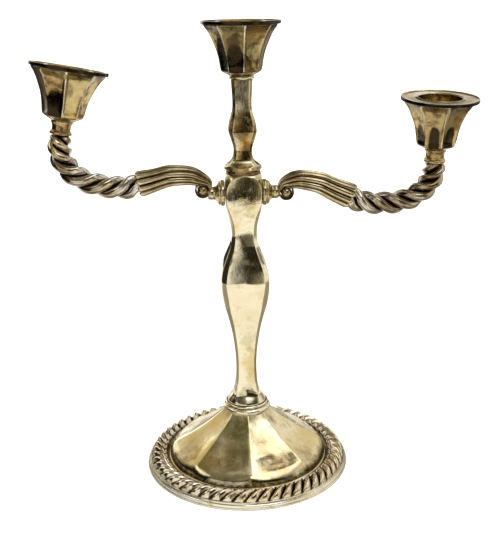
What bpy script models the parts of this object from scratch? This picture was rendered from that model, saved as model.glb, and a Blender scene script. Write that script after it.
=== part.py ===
"""Three-light tabletop candelabra in silver-plated brass.

The origin is the centre of the foot's underside, +Z is up, and the arms lie along X.
All sizes below are in millimetres and are turned into metres where meshes are made.
A profile is a list of (radius, height) points. An arm point is (out, up) from the arm's root.
"""

import math

import bmesh
import bpy
from mathutils import Vector

MM = 0.001
GAP = 0.3                     # clearance between touching pieces
PANELS = 8                    # sides of the octagonal pieces

# Foot
FOOT_STEPS = 32               # points round the foot shell
FLANGE_RADIUS = 54.3
FLANGE_TOP = 3.9
FLANGE_BOTTOM = 2.6
SHELL_INSET = (1.0, 1.3)      # how far the shell's inside lies in and down from its outside
WEIGHT_INSET = (1.8, 2.2)
PANEL_EDGE = [                # radius of the ridges, height, and how far the octagon has turned round
    (12.5, 32.4, 0.0), (15.3, 29.5, 0.0), (20.0, 25.6, 0.0), (27.0, 20.6, 0.0), (33.2, 16.5, 0.0),
    (38.7, 13.6, 0.1), (42.0, 11.6, 0.4), (43.7, 9.0, 0.8), (44.2, 6.2, 1.0),
]
GADROONS = 54
GADROON_LEAN = 5.0            # degrees that a gadroon runs round the foot from inside to outside
FELT_THICKNESS = 1.1
PLATE_THICKNESS = 0.9

# Column. Its sections are squares with their corners cut off, and the last number of each row is the
# part of a side that stays flat. It falls towards the shoulder, which is turned into a dome.
BORE = 2.8                    # corner radius of the bores, which clear the tie rod
ROD_RADIUS = 2.0
COLUMN_EDGE = [               # half width, height, flat share of each side
    (10.8, 37.7, 0.62), (10.6, 38.9, 0.62), (9.2, 41.4, 0.66), (7.6, 43.9, 0.72), (6.7, 46.8, 0.75),
    (5.95, 52.0, 0.75), (5.75, 61.0, 0.75), (6.2, 69.0, 0.75), (7.4, 78.1, 0.75), (9.3, 87.6, 0.75),
    (11.7, 97.0, 0.75), (12.9, 104.0, 0.75), (13.2, 110.8, 0.75), (11.9, 117.8, 0.74),
    (9.3, 124.6, 0.72), (7.6, 129.1, 0.70), (6.95, 133.6, 0.69), (7.15, 138.5, 0.70),
    (8.3, 144.7, 0.76), (9.3, 149.6, 0.84), (9.65, 157.0, 0.93), (9.65, 163.2, 0.80),
    (9.6, 166.2, 0.60), (9.5, 168.1, 0.42),
]
NECK_BOTTOM = 168.4
NECK_TOP = 170.3
STEM_FLAT = 0.70
STEM_EDGE = [                 # half width, height
    (9.6, 170.6), (8.5, 172.4), (5.7, 175.2), (4.75, 180.2), (6.05, 185.5), (7.15, 189.5),
    (7.25, 192.2), (6.4, 196.5), (5.2, 200.8), (4.95, 205.5), (5.2, 211.0), (5.5, 216.6),
]

# Arms
ARM_HEIGHT = 157.4            # of the studs that hold the arms
ARM_ROOT = 11.0               # distance of the arm's root from the column's axis
STUD_RADIUS = 2.0
ARM_TILTS = {"right": 1.3, "left": 9.6}     # degrees about +Y: the right arm sags, the left is raised
CUP_LEANS = {"right": (0.0, 4.8), "left": (1.2, -4.0)}  # degrees that a light leans right and forward
SCROLL_AND_HORN = [           # out, up, half height and half width of the section
    (15.0, 0.7, 1.0, 3.9), (14.7, -2.6, 1.1, 4.0), (11.3, -4.4, 1.1, 4.1), (8.3, -2.9, 1.0, 4.2),
    (7.2, 0.3, 0.9, 4.3), (8.9, 3.9, 2.2, 4.6), (12.9, 6.3, 4.1, 5.1), (19.1, 7.3, 5.1, 5.6),
    (28.7, 6.2, 5.8, 6.2), (38.5, 1.2, 6.8, 6.8), (46.4, -2.9, 6.7, 6.7),
]
ROPE_LINES = {                # the left arm has been bent up a little more tightly
    "right": [(51.0, -5.0), (56.5, -6.1), (61.0, -6.2), (69.0, -6.0), (76.0, -4.6), (83.0, -1.1),
              (88.0, 3.9), (90.5, 9.4), (90.75, 15.6)],
    "left": [(51.0, -4.4), (56.5, -5.1), (61.0, -5.2), (67.5, -4.8), (74.0, -3.3), (80.0, 0.1),
             (84.6, 5.0), (87.0, 11.1), (87.3, 18.0)],
}
ARM_STEPS = 3                 # sections from one point of the arm's line to the next
REEDS = 12
BALL_OUT = 10.7
BALL_RADIUS = 2.2
STRANDS = 3
STRAND_RADIUS = 3.2
STRAND_OFFSET = 2.95
ROPE_LEAD = 29.0              # length of one full twist
FERRULE_LENGTH = 7.05
FERRULE_LIFT = 0.6            # clear of the twisted arm, however the light leans

# Lights, measured up from the cup's lower edge
CUP_EDGE = [(6.3, -1.5), (10.15, 0.0), (10.45, 4.2), (11.7, 10.1), (14.0, 16.0), (16.05, 20.0),
            (17.6, 21.9), (19.0, 23.8)]
CUP_HOLLOW = [(18.0, 23.8), (16.4, 21.9), (14.8, 20.0), (12.9, 16.0), (10.7, 10.1), (9.5, 4.2), (8.9, 1.6)]
CUP_SEAT = 1.8                # the ferrule's top lies this far below the cup's lower edge
CENTRE_CUP_HEIGHT = 220.1
CUP_TURNS = {"left": 4.7, "centre": 4.0, "right": 0.5}   # degrees that each cup was screwed on to
NOZZLE_SIDES = 24
RIM_AND_SOCKET = [(20.4, 24.7), (20.4, 25.3), (20.0, 25.7), (11.4, 25.7), (11.4, 18.9), (9.9, 14.1),
                  (8.1, 8.4), (7.4, 5.3)]
SOCKET_OUTSIDE = [(8.1, 4.6), (8.8, 8.2), (10.6, 14.1), (12.1, 18.8), (12.1, 24.1), (19.2, 24.1)]


def clear_scene():
    for old in list(bpy.data.objects):
        bpy.data.objects.remove(old, do_unlink=True)


def material(name, colour, roughness, metallic=1.0):
    made = bpy.data.materials.new(name)
    made.use_nodes = True
    shader = made.node_tree.nodes["Principled BSDF"]
    shader.inputs["Base Color"].default_value = (*colour, 1.0)
    shader.inputs["Roughness"].default_value = roughness
    shader.inputs["Metallic"].default_value = metallic
    made.diffuse_color = (*colour, 1.0)
    return made


def plate(name):
    return material(name, (0.80, 0.72, 0.52), 0.25)


def dark_plate(name):
    return material(name, (0.42, 0.34, 0.22), 0.4)


def steel(name):
    return material(name, (0.55, 0.55, 0.56), 0.35)


def loft(name, rings, finish, closed=False, parent=None):
    """Joins rings of equally many points into one closed body. Open ends are capped with flat faces."""
    mesh = bmesh.new()
    rows = [[mesh.verts.new(Vector(point) * MM) for point in ring] for ring in rings]
    pairs = list(zip(rows, rows[1:]))
    if closed:
        pairs.append((rows[-1], rows[0]))
    count = len(rows[0])
    for low, high in pairs:
        for i in range(count):
            j = (i + 1) % count
            mesh.faces.new((low[i], low[j], high[j], high[i]))
    if not closed:
        mesh.faces.new(rows[0])
        mesh.faces.new(rows[-1])
    bmesh.ops.recalc_face_normals(mesh, faces=mesh.faces)
    data = bpy.data.meshes.new(name)
    mesh.to_mesh(data)
    mesh.free()
    data.shade_smooth()
    data.set_sharp_from_angle(angle=math.radians(35))
    data.materials.append(finish)
    made = bpy.data.objects.new(name, data)
    bpy.context.scene.collection.objects.link(made)
    made.parent = parent
    return made


def circle(radius, height, sides, turn=0.0):
    """Points round the Z axis, with the first on +X turned by so many degrees."""
    angles = [math.radians(turn) + math.tau * i / sides for i in range(sides)]
    return [(radius * math.cos(a), radius * math.sin(a), height) for a in angles]


def turned(name, profile, sides, finish, bore=None, turn=0.0, parent=None):
    """A turned piece, solid or with a straight bore of the given radius."""
    if bore is not None:
        profile = profile + [(bore, profile[-1][1]), (bore, profile[0][1])]
    rings = [circle(radius, height, sides, turn) for radius, height in profile]
    return loft(name, rings, finish, closed=bore is not None, parent=parent)


def hollow(name, outline, sides, finish, turn=0.0, parent=None):
    """A turned piece whose closed outline never meets the axis."""
    rings = [circle(radius, height, sides, turn) for radius, height in outline]
    return loft(name, rings, finish, closed=True, parent=parent)


def smooth(rows, steps):
    """A Catmull-Rom curve through rows of numbers, with so many steps between two rows."""
    out = []
    last = len(rows) - 1
    for k in range(last):
        before, a, b, after = rows[max(k - 1, 0)], rows[k], rows[k + 1], rows[min(k + 2, last)]
        for step in range(steps):
            t = step / steps
            out.append(tuple(
                0.5 * (2 * q + (r - p) * t + (2 * p - 5 * q + 4 * r - s) * t * t
                       + (3 * q - p - 3 * r + s) * t ** 3)
                for p, q, r, s in zip(before, a, b, after)))
    out.append(tuple(rows[last]))
    return out


def empty(name, location, tilt=0.0, parent=None):
    """A frame at a place in millimetres, tilted about Y by so many degrees."""
    made = bpy.data.objects.new(name, None)
    bpy.context.scene.collection.objects.link(made)
    made.location = Vector(location) * MM
    made.rotation_euler = (0.0, math.radians(tilt), 0.0)
    made.parent = parent
    return made


# Foot -------------------------------------------------------------------------------------------

def panel_ring(radius, height, roundness):
    """A ring of the foot shell: an octagon with corners at the radius, turned towards a circle."""
    points = []
    half = math.pi / PANELS
    for i in range(FOOT_STEPS):
        angle = math.tau * i / FOOT_STEPS
        octagon = math.cos(half) / math.cos(angle % (2 * half) - half)
        reach = radius * (octagon + (1.0 - octagon) * roundness)
        points.append((reach * math.cos(angle), reach * math.sin(angle), height))
    return points


def inset_panels(inset):
    """The foot's outer rings moved in and down."""
    inward, down = inset
    return [panel_ring(radius - inward, height - down, roundness) for radius, height, roundness in PANEL_EDGE]


def foot_dome():
    outside = [panel_ring(*edge) for edge in PANEL_EDGE]
    inside = inset_panels(SHELL_INSET)
    inner_radius = PANEL_EDGE[-1][0] - SHELL_INSET[0]
    groove_and_flange = [(45.3, 5.3), (46.2, 5.6), (46.3, FLANGE_TOP), (FLANGE_RADIUS, FLANGE_TOP),
                         (FLANGE_RADIUS, FLANGE_BOTTOM), (inner_radius, FLANGE_BOTTOM)]
    flange = [panel_ring(radius, height, 1.0) for radius, height in groove_and_flange]
    hole = 6.0                # lets the weight's top and the rod through
    top = PANEL_EDGE[0][1]
    collar = [panel_ring(hole, top - SHELL_INSET[1], 1.0), panel_ring(hole, top, 1.0)]
    loft("foot_dome", outside + flange + inside[::-1] + collar, plate("foot_plate"), closed=True)


def foot_rope_border():
    """A ring whose top swells and narrows once for each gadroon, leaning round the foot."""
    base = FLANGE_TOP + GAP
    crest = [(46.6, base), (46.9, 6.6), (49.0, 8.0), (52.2, 8.3), (54.9, 6.4), (55.2, base)]
    valley = [(46.6, base), (47.2, 6.0), (49.2, 6.9), (52.0, 7.0), (54.3, 5.4), (55.0, base)]
    middle = (crest[0][0] + crest[-1][0]) / 2
    width = crest[-1][0] - crest[0][0]
    rings = []
    for i in range(2 * GADROONS):
        section = valley if i % 2 else crest
        start = math.pi * i / GADROONS
        ring = []
        for radius, height in section:
            angle = start - math.radians(GADROON_LEAN) * (radius - middle) / width
            ring.append((radius * math.cos(angle), radius * math.sin(angle), height))
        rings.append(ring)
    loft("foot_rope_border", rings, dark_plate("border_plate"), closed=True)


def foot_inside():
    band = [(57.2, 0.2), (57.0, 1.4), (56.1, 3.2), (55.7, FLANGE_TOP), (FLANGE_RADIUS + GAP, FLANGE_TOP)]
    hollow("foot_band", band + [(FLANGE_RADIUS + GAP, 0.2)], 48, plate("band_plate"))
    plate_bottom = FELT_THICKNESS + GAP
    weight_bottom = FLANGE_BOTTOM
    turned("foot_felt", [(54.2, 0.0), (54.2, FELT_THICKNESS)], 48,
           material("green_felt", (0.05, 0.12, 0.06), 0.95, 0.0))
    turned("foot_base_plate", [(54.2, plate_bottom), (54.2, plate_bottom + PLATE_THICKNESS)], 48,
           steel("plate_steel"))
    pocket_radius = 8.5
    pocket_top = 9.0
    core = [panel_ring(BORE, PANEL_EDGE[0][1] - WEIGHT_INSET[1], 1.0), panel_ring(BORE, pocket_top, 1.0),
            panel_ring(pocket_radius, pocket_top, 1.0), panel_ring(pocket_radius, weight_bottom, 1.0)]
    skirt = [panel_ring(PANEL_EDGE[-1][0] - WEIGHT_INSET[0], weight_bottom, 1.0)]
    loft("foot_weight", skirt + inset_panels(WEIGHT_INSET)[::-1] + core,
         material("plaster", (0.78, 0.75, 0.68), 0.9, 0.0), closed=True)


def tie_rod():
    """One long threaded rod from a nut in the foot to a nut in the centre cup."""
    rod_bottom = 4.0
    rod_top = CENTRE_CUP_HEIGHT + 4.1
    turned("tie_rod", [(ROD_RADIUS, rod_bottom), (ROD_RADIUS, rod_top)], 12, steel("rod_steel"))
    turned("tie_rod_nut", [(4.0, 5.0), (4.0, 7.0)], 6, steel("nut_steel"), bore=BORE)
    turned("tie_rod_washer", [(7.0, 7.3), (7.0, 8.7)], 20, steel("washer_steel"), bore=BORE)
    nut_bottom = CENTRE_CUP_HEIGHT + 1.9
    turned("tie_rod_top_nut", [(4.2, nut_bottom), (4.2, nut_bottom + 2.0)], 6, steel("top_nut_steel"), bore=BORE)


# Column -----------------------------------------------------------------------------------------

def column_ring(half_width, height, flat):
    """A square with its corners cut off, as eight points."""
    corner = half_width * flat
    quarter = [(half_width, -corner), (half_width, corner)]
    points = []
    for _ in range(4):
        points += [(x, y, height) for x, y in quarter]
        quarter = [(-y, x) for x, y in quarter]
    return points


def column_piece(name, rows, finish):
    """A piece of the column with a bore that clears the tie rod."""
    half_bore = BORE * math.cos(math.pi / PANELS)
    regular = math.tan(math.pi / PANELS)
    rings = [column_ring(*row) for row in rows]
    rings += [column_ring(half_bore, rows[-1][1], regular), column_ring(half_bore, rows[0][1], regular)]
    return loft(name, rings, finish, closed=True)


def column():
    turned("collar_ring_lower", [(12.5, 32.7), (13.2, 33.4), (13.2, 35.0), (12.6, 35.6)], 24,
           plate("lower_collar_plate"), bore=BORE)
    turned("collar_ring_upper", [(11.3, 35.9), (11.9, 36.3), (11.9, 36.9), (11.4, 37.4)], 24,
           plate("upper_collar_plate"), bore=BORE)
    body = column_piece("lower_column", smooth(COLUMN_EDGE, 2), plate("column_plate"))
    drill_for_studs(body)
    neck = [(9.1, NECK_BOTTOM, 0.45), (8.7, (NECK_BOTTOM + NECK_TOP) / 2, 0.6), (9.1, NECK_TOP, 0.65)]
    column_piece("neck_ring", neck, dark_plate("neck_plate"))
    stem = [(half_width, height, STEM_FLAT) for half_width, height in smooth(STEM_EDGE, 2)]
    column_piece("upper_stem", stem, plate("stem_plate"))
    turned("stem_seat_ring", [(6.2, 216.9), (6.6, 217.5), (6.4, 218.3)], 24, plate("seat_plate"), bore=BORE)


def drill_for_studs(body):
    """One hole across the column takes the studs of both arms."""
    drill = turned("stud_drill", [(STUD_RADIUS + GAP, -14.0), (STUD_RADIUS + GAP, 14.0)], 16,
                   dark_plate("drill_face"))
    drill.location = (0.0, 0.0, ARM_HEIGHT * MM)
    drill.rotation_euler = (0.0, math.pi / 2, 0.0)
    drill.hide_render = True
    drill.display_type = "WIRE"
    cut = body.modifiers.new("stud_hole", "BOOLEAN")
    cut.operation = "DIFFERENCE"
    cut.object = drill


# Arms -------------------------------------------------------------------------------------------

def arm_line(side):
    """The centre line of scroll, horn and rope."""
    return [(out, up) for out, up, _, _ in SCROLL_AND_HORN] + ROPE_LINES[side]


def directions(points):
    """The unit direction of a line of (out, up) points at each point."""
    out = []
    for k in range(len(points)):
        a, b = points[max(k - 1, 0)], points[min(k + 1, len(points) - 1)]
        length = math.hypot(b[0] - a[0], b[1] - a[1])
        out.append(((b[0] - a[0]) / length, (b[1] - a[1]) / length))
    return out


def section_ring(centre, along, offsets, hand):
    """Points round the line. Each offset is (to the line's left, back); hand mirrors the left arm."""
    (out, up), (t_out, t_up) = centre, along
    return [(hand * (out - t_up * side), back, up + t_out * side) for side, back in offsets]


def horn_section(half_height, half_width, reeding):
    """An oval with one rounded reed at every second point."""
    offsets = []
    for k in range(2 * REEDS):
        angle = math.tau * k / (2 * REEDS)
        swell = 1.0 if k % 2 == 0 else 1.0 - reeding
        offsets.append((half_height * swell * math.cos(angle), half_width * swell * math.sin(angle)))
    return offsets


def rope_section(twist):
    """The outline of three strands laid side by side, turned by the twist."""
    points_per_strand = 4
    step = math.tau / STRANDS / points_per_strand
    offsets = []
    for k in range(STRANDS * points_per_strand):
        from_crest = (k % points_per_strand) * step
        from_crest = min(from_crest, math.tau / STRANDS - from_crest)
        reach = (STRAND_OFFSET * math.cos(from_crest)
                 + math.sqrt(STRAND_RADIUS ** 2 - (STRAND_OFFSET * math.sin(from_crest)) ** 2))
        offsets.append((reach * math.cos(k * step + twist), reach * math.sin(k * step + twist)))
    return offsets


def horn(side, hand, points, ways, parent):
    """The reeded horn from its scroll to its cut end."""
    sizes = smooth([row[2:] for row in SCROLL_AND_HORN], ARM_STEPS)
    full_size = SCROLL_AND_HORN[-1][2]
    rings = []
    for centre, along, (high, wide) in zip(points, ways, sizes):
        reeding = 0.08 * high / full_size
        rings.append(section_ring(centre, along, horn_section(high, wide, reeding), hand))
    loft(f"arm_horn_{side}", rings, plate(f"horn_plate_{side}"), parent=parent)


def rope(side, hand, points, ways, parent):
    """The twisted arm from the horn's cut end to the ferrule."""
    travelled = 0.0
    rings = []
    for k, (point, along) in enumerate(zip(points, ways)):
        if k:
            travelled += math.dist(point, points[k - 1])
        clear = 2 * GAP if k == 0 else 0.0
        centre = (point[0] + along[0] * clear, point[1] + along[1] * clear)
        twist = -math.tau * travelled / ROPE_LEAD
        rings.append(section_ring(centre, along, rope_section(twist), hand))
    loft(f"arm_rope_{side}", rings, plate(f"rope_plate_{side}"), parent=parent)


def scroll_ball(side, hand, parent):
    """A round-ended pin through the eye of the scroll."""
    half_length = 4.6
    dome = [(BALL_RADIUS * math.cos(a), half_length - BALL_RADIUS + BALL_RADIUS * math.sin(a))
            for a in [math.radians(d) for d in (0, 30, 55, 75)]]
    profile = [(radius, -height) for radius, height in dome[::-1]] + dome
    pin = turned(f"arm_scroll_ball_{side}", profile, 12, plate(f"ball_plate_{side}"), parent=parent)
    pin.location = (hand * BALL_OUT * MM, 0.0, 0.0)
    pin.rotation_euler = (math.pi / 2, 0.0, 0.0)


def boss_and_stud(side, hand):
    """The boss stands square against the column, whatever the arm's own tilt."""
    frame = empty(f"{side}_boss_frame", (0.0, 0.0, ARM_HEIGHT))
    frame.rotation_euler = (0.0, hand * math.pi / 2, 0.0)
    boss = [(6.7, 10.0), (7.0, 10.5), (7.0, 12.1), (6.5, 13.3), (4.4, 14.4), (4.1, 15.0), (4.3, 16.1)]
    turned(f"arm_boss_{side}", boss, 16, plate(f"boss_plate_{side}"), bore=2.4, parent=frame)
    stud_start = ROD_RADIUS + 1.0
    turned(f"arm_stud_{side}", [(STUD_RADIUS, stud_start), (STUD_RADIUS, 16.0)], 12,
           steel(f"stud_steel_{side}"), parent=frame)


def arm(side, hand):
    """One arm from the column to its light. hand is 1 on the right and -1 on the left."""
    boss_and_stud(side, hand)
    frame = empty(f"{side}_arm_frame", (hand * ARM_ROOT, 0.0, ARM_HEIGHT), ARM_TILTS[side])
    points = smooth(arm_line(side), ARM_STEPS)
    ways = directions(points)
    joint = ARM_STEPS * (len(SCROLL_AND_HORN) - 1)
    horn(side, hand, points[:joint + 1], ways[:joint + 1], frame)
    scroll_ball(side, hand, frame)
    rope(side, hand, points[joint:], ways[joint:], frame)
    end_out, end_up = points[-1]
    lean_right, lean_forward = CUP_LEANS[side]
    end_frame = empty(f"{side}_end_frame", (hand * end_out, 0.0, end_up + FERRULE_LIFT), lean_right, frame)
    end_frame.rotation_euler.x = math.radians(lean_forward)
    top = FERRULE_LENGTH
    profile = [(4.9, 0.0), (4.9, 1.0), (4.6, 3.5), (4.9, top - 1.0), (4.9, top)]
    turned(f"arm_ferrule_{side}", profile, 16, plate(f"ferrule_plate_{side}"), bore=2.5, parent=end_frame)
    cup_frame = empty(f"{side}_cup_frame", (0.0, 0.0, top + CUP_SEAT), parent=end_frame)
    screw = [(ROD_RADIUS, -7.6), (ROD_RADIUS, 1.9), (4.2, 1.9), (4.2, 3.9)]
    turned(f"cup_screw_{side}", screw, 12, steel(f"screw_steel_{side}"), parent=cup_frame)
    light(side, cup_frame)


# Lights -----------------------------------------------------------------------------------------

def light(side, frame):
    """An eight-sided cup and the drip rim with its candle socket that lifts out of it."""
    floor = [(BORE, CUP_HOLLOW[-1][1]), (BORE, CUP_EDGE[0][1])]
    hollow(f"cup_{side}", CUP_EDGE + CUP_HOLLOW + floor, PANELS, plate(f"cup_plate_{side}"),
           turn=CUP_TURNS[side], parent=frame)
    outline = SOCKET_OUTSIDE + RIM_AND_SOCKET
    rings = [circle(radius, height, NOZZLE_SIDES) for radius, height in outline]
    loft(f"nozzle_{side}", rings, plate(f"nozzle_plate_{side}"), parent=frame)


def build():
    clear_scene()
    foot_dome()
    foot_rope_border()
    foot_inside()
    tie_rod()
    column()
    arm("right", 1)
    arm("left", -1)
    light("centre", empty("centre_cup_frame", (0.0, 0.0, CENTRE_CUP_HEIGHT)))


build()
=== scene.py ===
"""Visual model of a three-light tabletop candelabra in worn silver plate on brass.

Everything is built in millimetres in the shared frame: the origin is the centre of the foot's underside,
+Z is up and the arms lie along X. Meshes are turned into metres as they are made.
"""

import math

import bpy
import numpy as np
from mathutils import Euler, Matrix, Vector


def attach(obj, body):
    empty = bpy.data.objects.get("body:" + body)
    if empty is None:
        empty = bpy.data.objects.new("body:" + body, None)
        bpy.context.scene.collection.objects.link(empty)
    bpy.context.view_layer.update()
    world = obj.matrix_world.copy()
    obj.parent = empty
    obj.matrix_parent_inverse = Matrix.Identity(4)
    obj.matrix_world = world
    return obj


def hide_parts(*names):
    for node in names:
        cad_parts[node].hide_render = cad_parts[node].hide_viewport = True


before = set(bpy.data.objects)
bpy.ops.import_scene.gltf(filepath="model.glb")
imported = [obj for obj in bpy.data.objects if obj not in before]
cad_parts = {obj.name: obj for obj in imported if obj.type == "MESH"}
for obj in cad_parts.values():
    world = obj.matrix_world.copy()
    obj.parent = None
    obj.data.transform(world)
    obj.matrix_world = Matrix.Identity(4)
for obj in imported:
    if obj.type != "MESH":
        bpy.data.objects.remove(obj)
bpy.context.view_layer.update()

MM = 0.001
SIDES = ("left", "right")
LIGHTS = ("left", "centre", "right")

# Camera: where it stands, how far it looks down and leans, and its lens
CAMERA_PLACE = (2.974, -466.72, 261.42)
CAMERA_ROUND = -3.0           # degrees that the camera has moved round the object
CAMERA_DOWN = 0.30231         # radians
CAMERA_ROLL = -0.01391        # radians
CAMERA_LENS = 60.43           # on a 36 mm sensor

# Foot: radius of the ridges, height, and how far the octagon has become a circle
PANELS = 8
PANEL_EDGE = [
    (12.5, 32.4, 0.0), (15.3, 29.5, 0.0), (20.0, 25.6, 0.0), (27.0, 20.6, 0.0), (33.2, 16.5, 0.0),
    (38.4, 13.6, 0.12), (41.6, 11.5, 0.45), (43.4, 9.0, 0.85), (44.2, 6.2, 1.0),
]
PANEL_SHARPNESS = 110.0
PANEL_DIP = 0.55              # how far the middle of a panel is sunk
PANEL_DARKENING = [(5.0, 0.15), (6.2, 0.55), (9.0, 0.45), (11.5, 0.0)]     # height, darkness of a dark band low on the panels
FLANGE_TOP = 3.9
BORDER_BASE = FLANGE_TOP + 0.1
BORDER_MIDDLE = 50.85
BORDER_WIDTH = 8.7
GADROON_CREST = [             # radius, height
    (46.5, BORDER_BASE), (46.6, 6.2), (47.0, 6.75), (47.6, 6.6), (48.0, 6.9), (48.8, 7.9),
    (50.4, 8.35), (52.2, 8.3), (53.7, 7.4), (54.8, 5.9), (55.2, BORDER_BASE),
]
GADROON_VALLEY = [
    (46.5, BORDER_BASE), (46.6, 6.1), (47.0, 6.7), (47.5, 6.4), (47.8, 5.6), (48.4, 5.1),
    (49.8, 5.1), (51.6, 5.0), (53.2, 4.7), (54.2, 4.4), (54.9, BORDER_BASE),
]
GADROONS = 54
GADROON_LEAN = 7.0            # degrees that a gadroon runs round the foot from inside to outside

# Column: half width, height, flat share of each side
COLUMN_EDGE = [
    (10.8, 37.7, 0.62), (10.6, 38.5, 0.62), (9.4, 40.3, 0.64), (8.0, 42.3, 0.69), (7.05, 44.5, 0.73),
    (6.5, 47.3, 0.75), (5.95, 52.0, 0.75), (5.75, 61.0, 0.75), (6.2, 69.0, 0.75), (7.4, 78.1, 0.75),
    (9.3, 87.6, 0.75), (11.7, 97.0, 0.75), (12.9, 104.0, 0.75), (13.2, 110.8, 0.75),
    (11.9, 117.8, 0.74), (9.3, 124.6, 0.72), (7.6, 129.1, 0.70), (6.95, 133.6, 0.69),
    (7.15, 138.5, 0.70), (8.35, 144.7, 0.76), (9.3, 149.6, 0.84), (9.62, 154.5, 0.91),
    (9.68, 158.5, 0.93), (9.68, 162.5, 0.93), (9.65, 166.0, 0.93), (9.6, 168.2, 0.93),
]
SHOULDER_DOME = [             # height, radius
    (150.0, 20.0), (156.0, 13.9), (159.5, 13.2), (161.6, 12.9), (163.7, 12.35), (165.7, 11.45),
    (167.1, 10.4), (167.9, 9.5), (168.2, 9.0),
]
DENTS = [                     # direction in degrees, height, spread, depth (below 0 for a bump)
    (-66.0, 143.0, 5.6, 0.75), (-112.0, 134.0, 3.0, -0.10), (-100.0, 106.5, 4.0, 0.08),
    (-70.0, 107.0, 4.5, -0.08), (-96.0, 153.0, 2.6, 0.07), (-75.0, 151.0, 3.0, -0.07),
    (-80.0, 120.0, 5.0, 0.12), (-105.0, 84.0, 7.0, 0.10),
]
COLUMN_BOW = [(38.0, 0.15), (42.0, 0.35), (46.0, 0.75), (51.0, 0.93)]     # height, flatness
COLUMN_SHARPNESS = 80.0
FLARE_DARKENING = 0.32          # darkening in an arch on the faces of the column's flared lower end
FLARE_HEIGHT = 42.0
FLARE_REACH = 6.5             # above and below that height
FLARE_SPREAD = 38.0           # degrees on each side of a face's middle
STEM_FLAT = 0.70
STEM_BOW = 0.92
STEM_SHARPNESS = 70.0
STEM_FLANGE = 9.85            # radius that the flange at its foot is rounded off to
STEM_EDGE = [                 # half width, height
    (10.6, 170.6), (10.8, 171.0), (10.6, 171.5), (8.9, 172.3), (7.0, 173.6), (5.7, 175.4), (4.9, 178.2),
    (4.8, 180.6), (5.3, 183.2), (6.05, 185.5), (7.0, 188.7), (7.35, 191.0), (7.1, 193.4),
    (6.4, 196.5), (5.2, 200.8), (4.95, 205.5), (5.2, 211.0), (5.5, 216.6),
]

# Arms
ARM_HEIGHT = 157.4
ARM_ROOT = 11.0
ARM_TILTS = {"right": 1.3, "left": 9.6}       # degrees about +Y
CUP_LEANS = {"right": (0.0, 4.8), "left": (1.2, -4.0)}     # degrees to the right and to the front
BALL_PLACES = {"right": (11.7, 0.2), "left": (10.7, 0.3)}  # out and up
SCROLL_RADIUS = 3.75
SCROLL_ANGLES = (62.0, 28.0, -8.0, -44.0, -80.0, -115.0, -150.0, -182.0)
HORN = [                      # out, up, half height and half width of the section
    (13.2, 5.9, 4.2, 5.1), (19.1, 6.7, 5.2, 5.6), (28.7, 5.2, 5.8, 6.2), (34.0, 3.0, 6.0, 6.4),
    (38.5, 0.9, 6.4, 6.6), (46.4, -2.4, 7.0, 7.0),
]
ROPE_LINES = {
    "right": [(51.0, -5.0), (56.5, -6.1), (61.0, -6.2), (69.0, -6.0), (76.0, -4.6), (83.0, -1.1),
              (88.0, 3.9), (90.5, 9.4), (90.75, 15.6)],
    "left": [(51.0, -4.4), (56.5, -5.1), (61.0, -5.2), (67.5, -4.8), (74.0, -3.3), (80.0, 0.1),
             (84.6, 5.0), (87.0, 11.1), (87.3, 18.0)],
}
LINE_STEPS = 12               # sections from one point of the arm's line to the next
REEDS = 10
HORN_START = [(0.35, -0.55), (0.65, -0.5), (0.88, -0.3)]      # share of the section, how far along
HORN_LIP = [(0.985, 0.5), (0.95, 0.95), (0.89, 1.25), (0.80, 1.35), (0.6, 0.9), (0.3, 0.6)]
HORN_CUT_REACH = 10.0         # how far back from the horn's end the slant of its cut begins
CUT_BACK = {"right": (-0.8, 0.0), "left": (-3.4, -0.2)}     # the horn's end: shift, slant top to bottom
STRANDS = 3
STRAND_CREST = 6.2            # radius of the rope over its strands
STRAND_VALLEY = 3.0
ROPE_LEADS = [(0.0, 31.0), (28.0, 30.0), (42.0, 25.0), (50.0, 19.0), (62.0, 17.0)]   # place, full twist
ROPE_INSIDE = 7.0             # length of rope hidden in the horn's end
ROPE_SWELL = [(-ROPE_INSIDE, 0.80), (-1.0, 0.88), (2.5, 1.0)]      # place, share of the full thickness
ROPE_NIP = 0.14               # how much thinner it is at the ferrule
ROPE_NIP_REACH = 3.0
ROPE_END = [(0.78, 0.22), (0.5, 0.25)]        # share of the section, how far along
BALL_RADIUS = 2.85
BALL_HALF_LENGTH = 5.0
FERRULE_LENGTH = 7.05
FERRULE_LIFT = 0.6            # clear of the rope's end, however the light leans

# Lights, measured up from the cup's lower edge
CUP_EDGE = [(10.0, 0.55), (10.4, 0.95), (10.55, 1.6), (10.7, 4.2), (11.9, 10.1), (14.2, 16.0),
            (16.2, 20.0), (17.6, 21.9), (18.8, 23.3), (19.0, 23.8)]
CUP_HOLLOW = [(18.0, 23.8), (16.4, 21.9), (14.8, 20.0), (12.9, 16.0), (10.7, 10.1), (9.5, 4.2),
              (8.9, 1.6)]
CUP_SEAT = 1.8
CENTRE_CUP_HEIGHT = 220.1
CUP_TURNS = {"left": 4.7, "centre": 4.0, "right": 0.5}     # degrees about the cup's axis
CUP_UNDERSIDE = [(6.3, -1.5), (7.2, -0.95), (8.6, -0.25), (9.5, 0.2)]
CUP_SHARPNESS = 90.0
CUP_RIDGE = 0.42              # height of the raised line on each ridge
CUP_RIDGE_WIDTH = 0.75
CUP_DIP = 0.25
CUP_FADE = [(1.2, 0.0), (3.2, 1.0), (22.4, 1.0), (23.4, 0.0)]      # height, share of the ridge and dip
CUP_INSIDE_TARNISH = 0.5
RIM_SHADE_AND_TARNISH = [(16.0, 0.0), (21.0, 0.45), (23.8, 0.7)]             # height, darkness of the painted shade and tarnish under the rim
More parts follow.
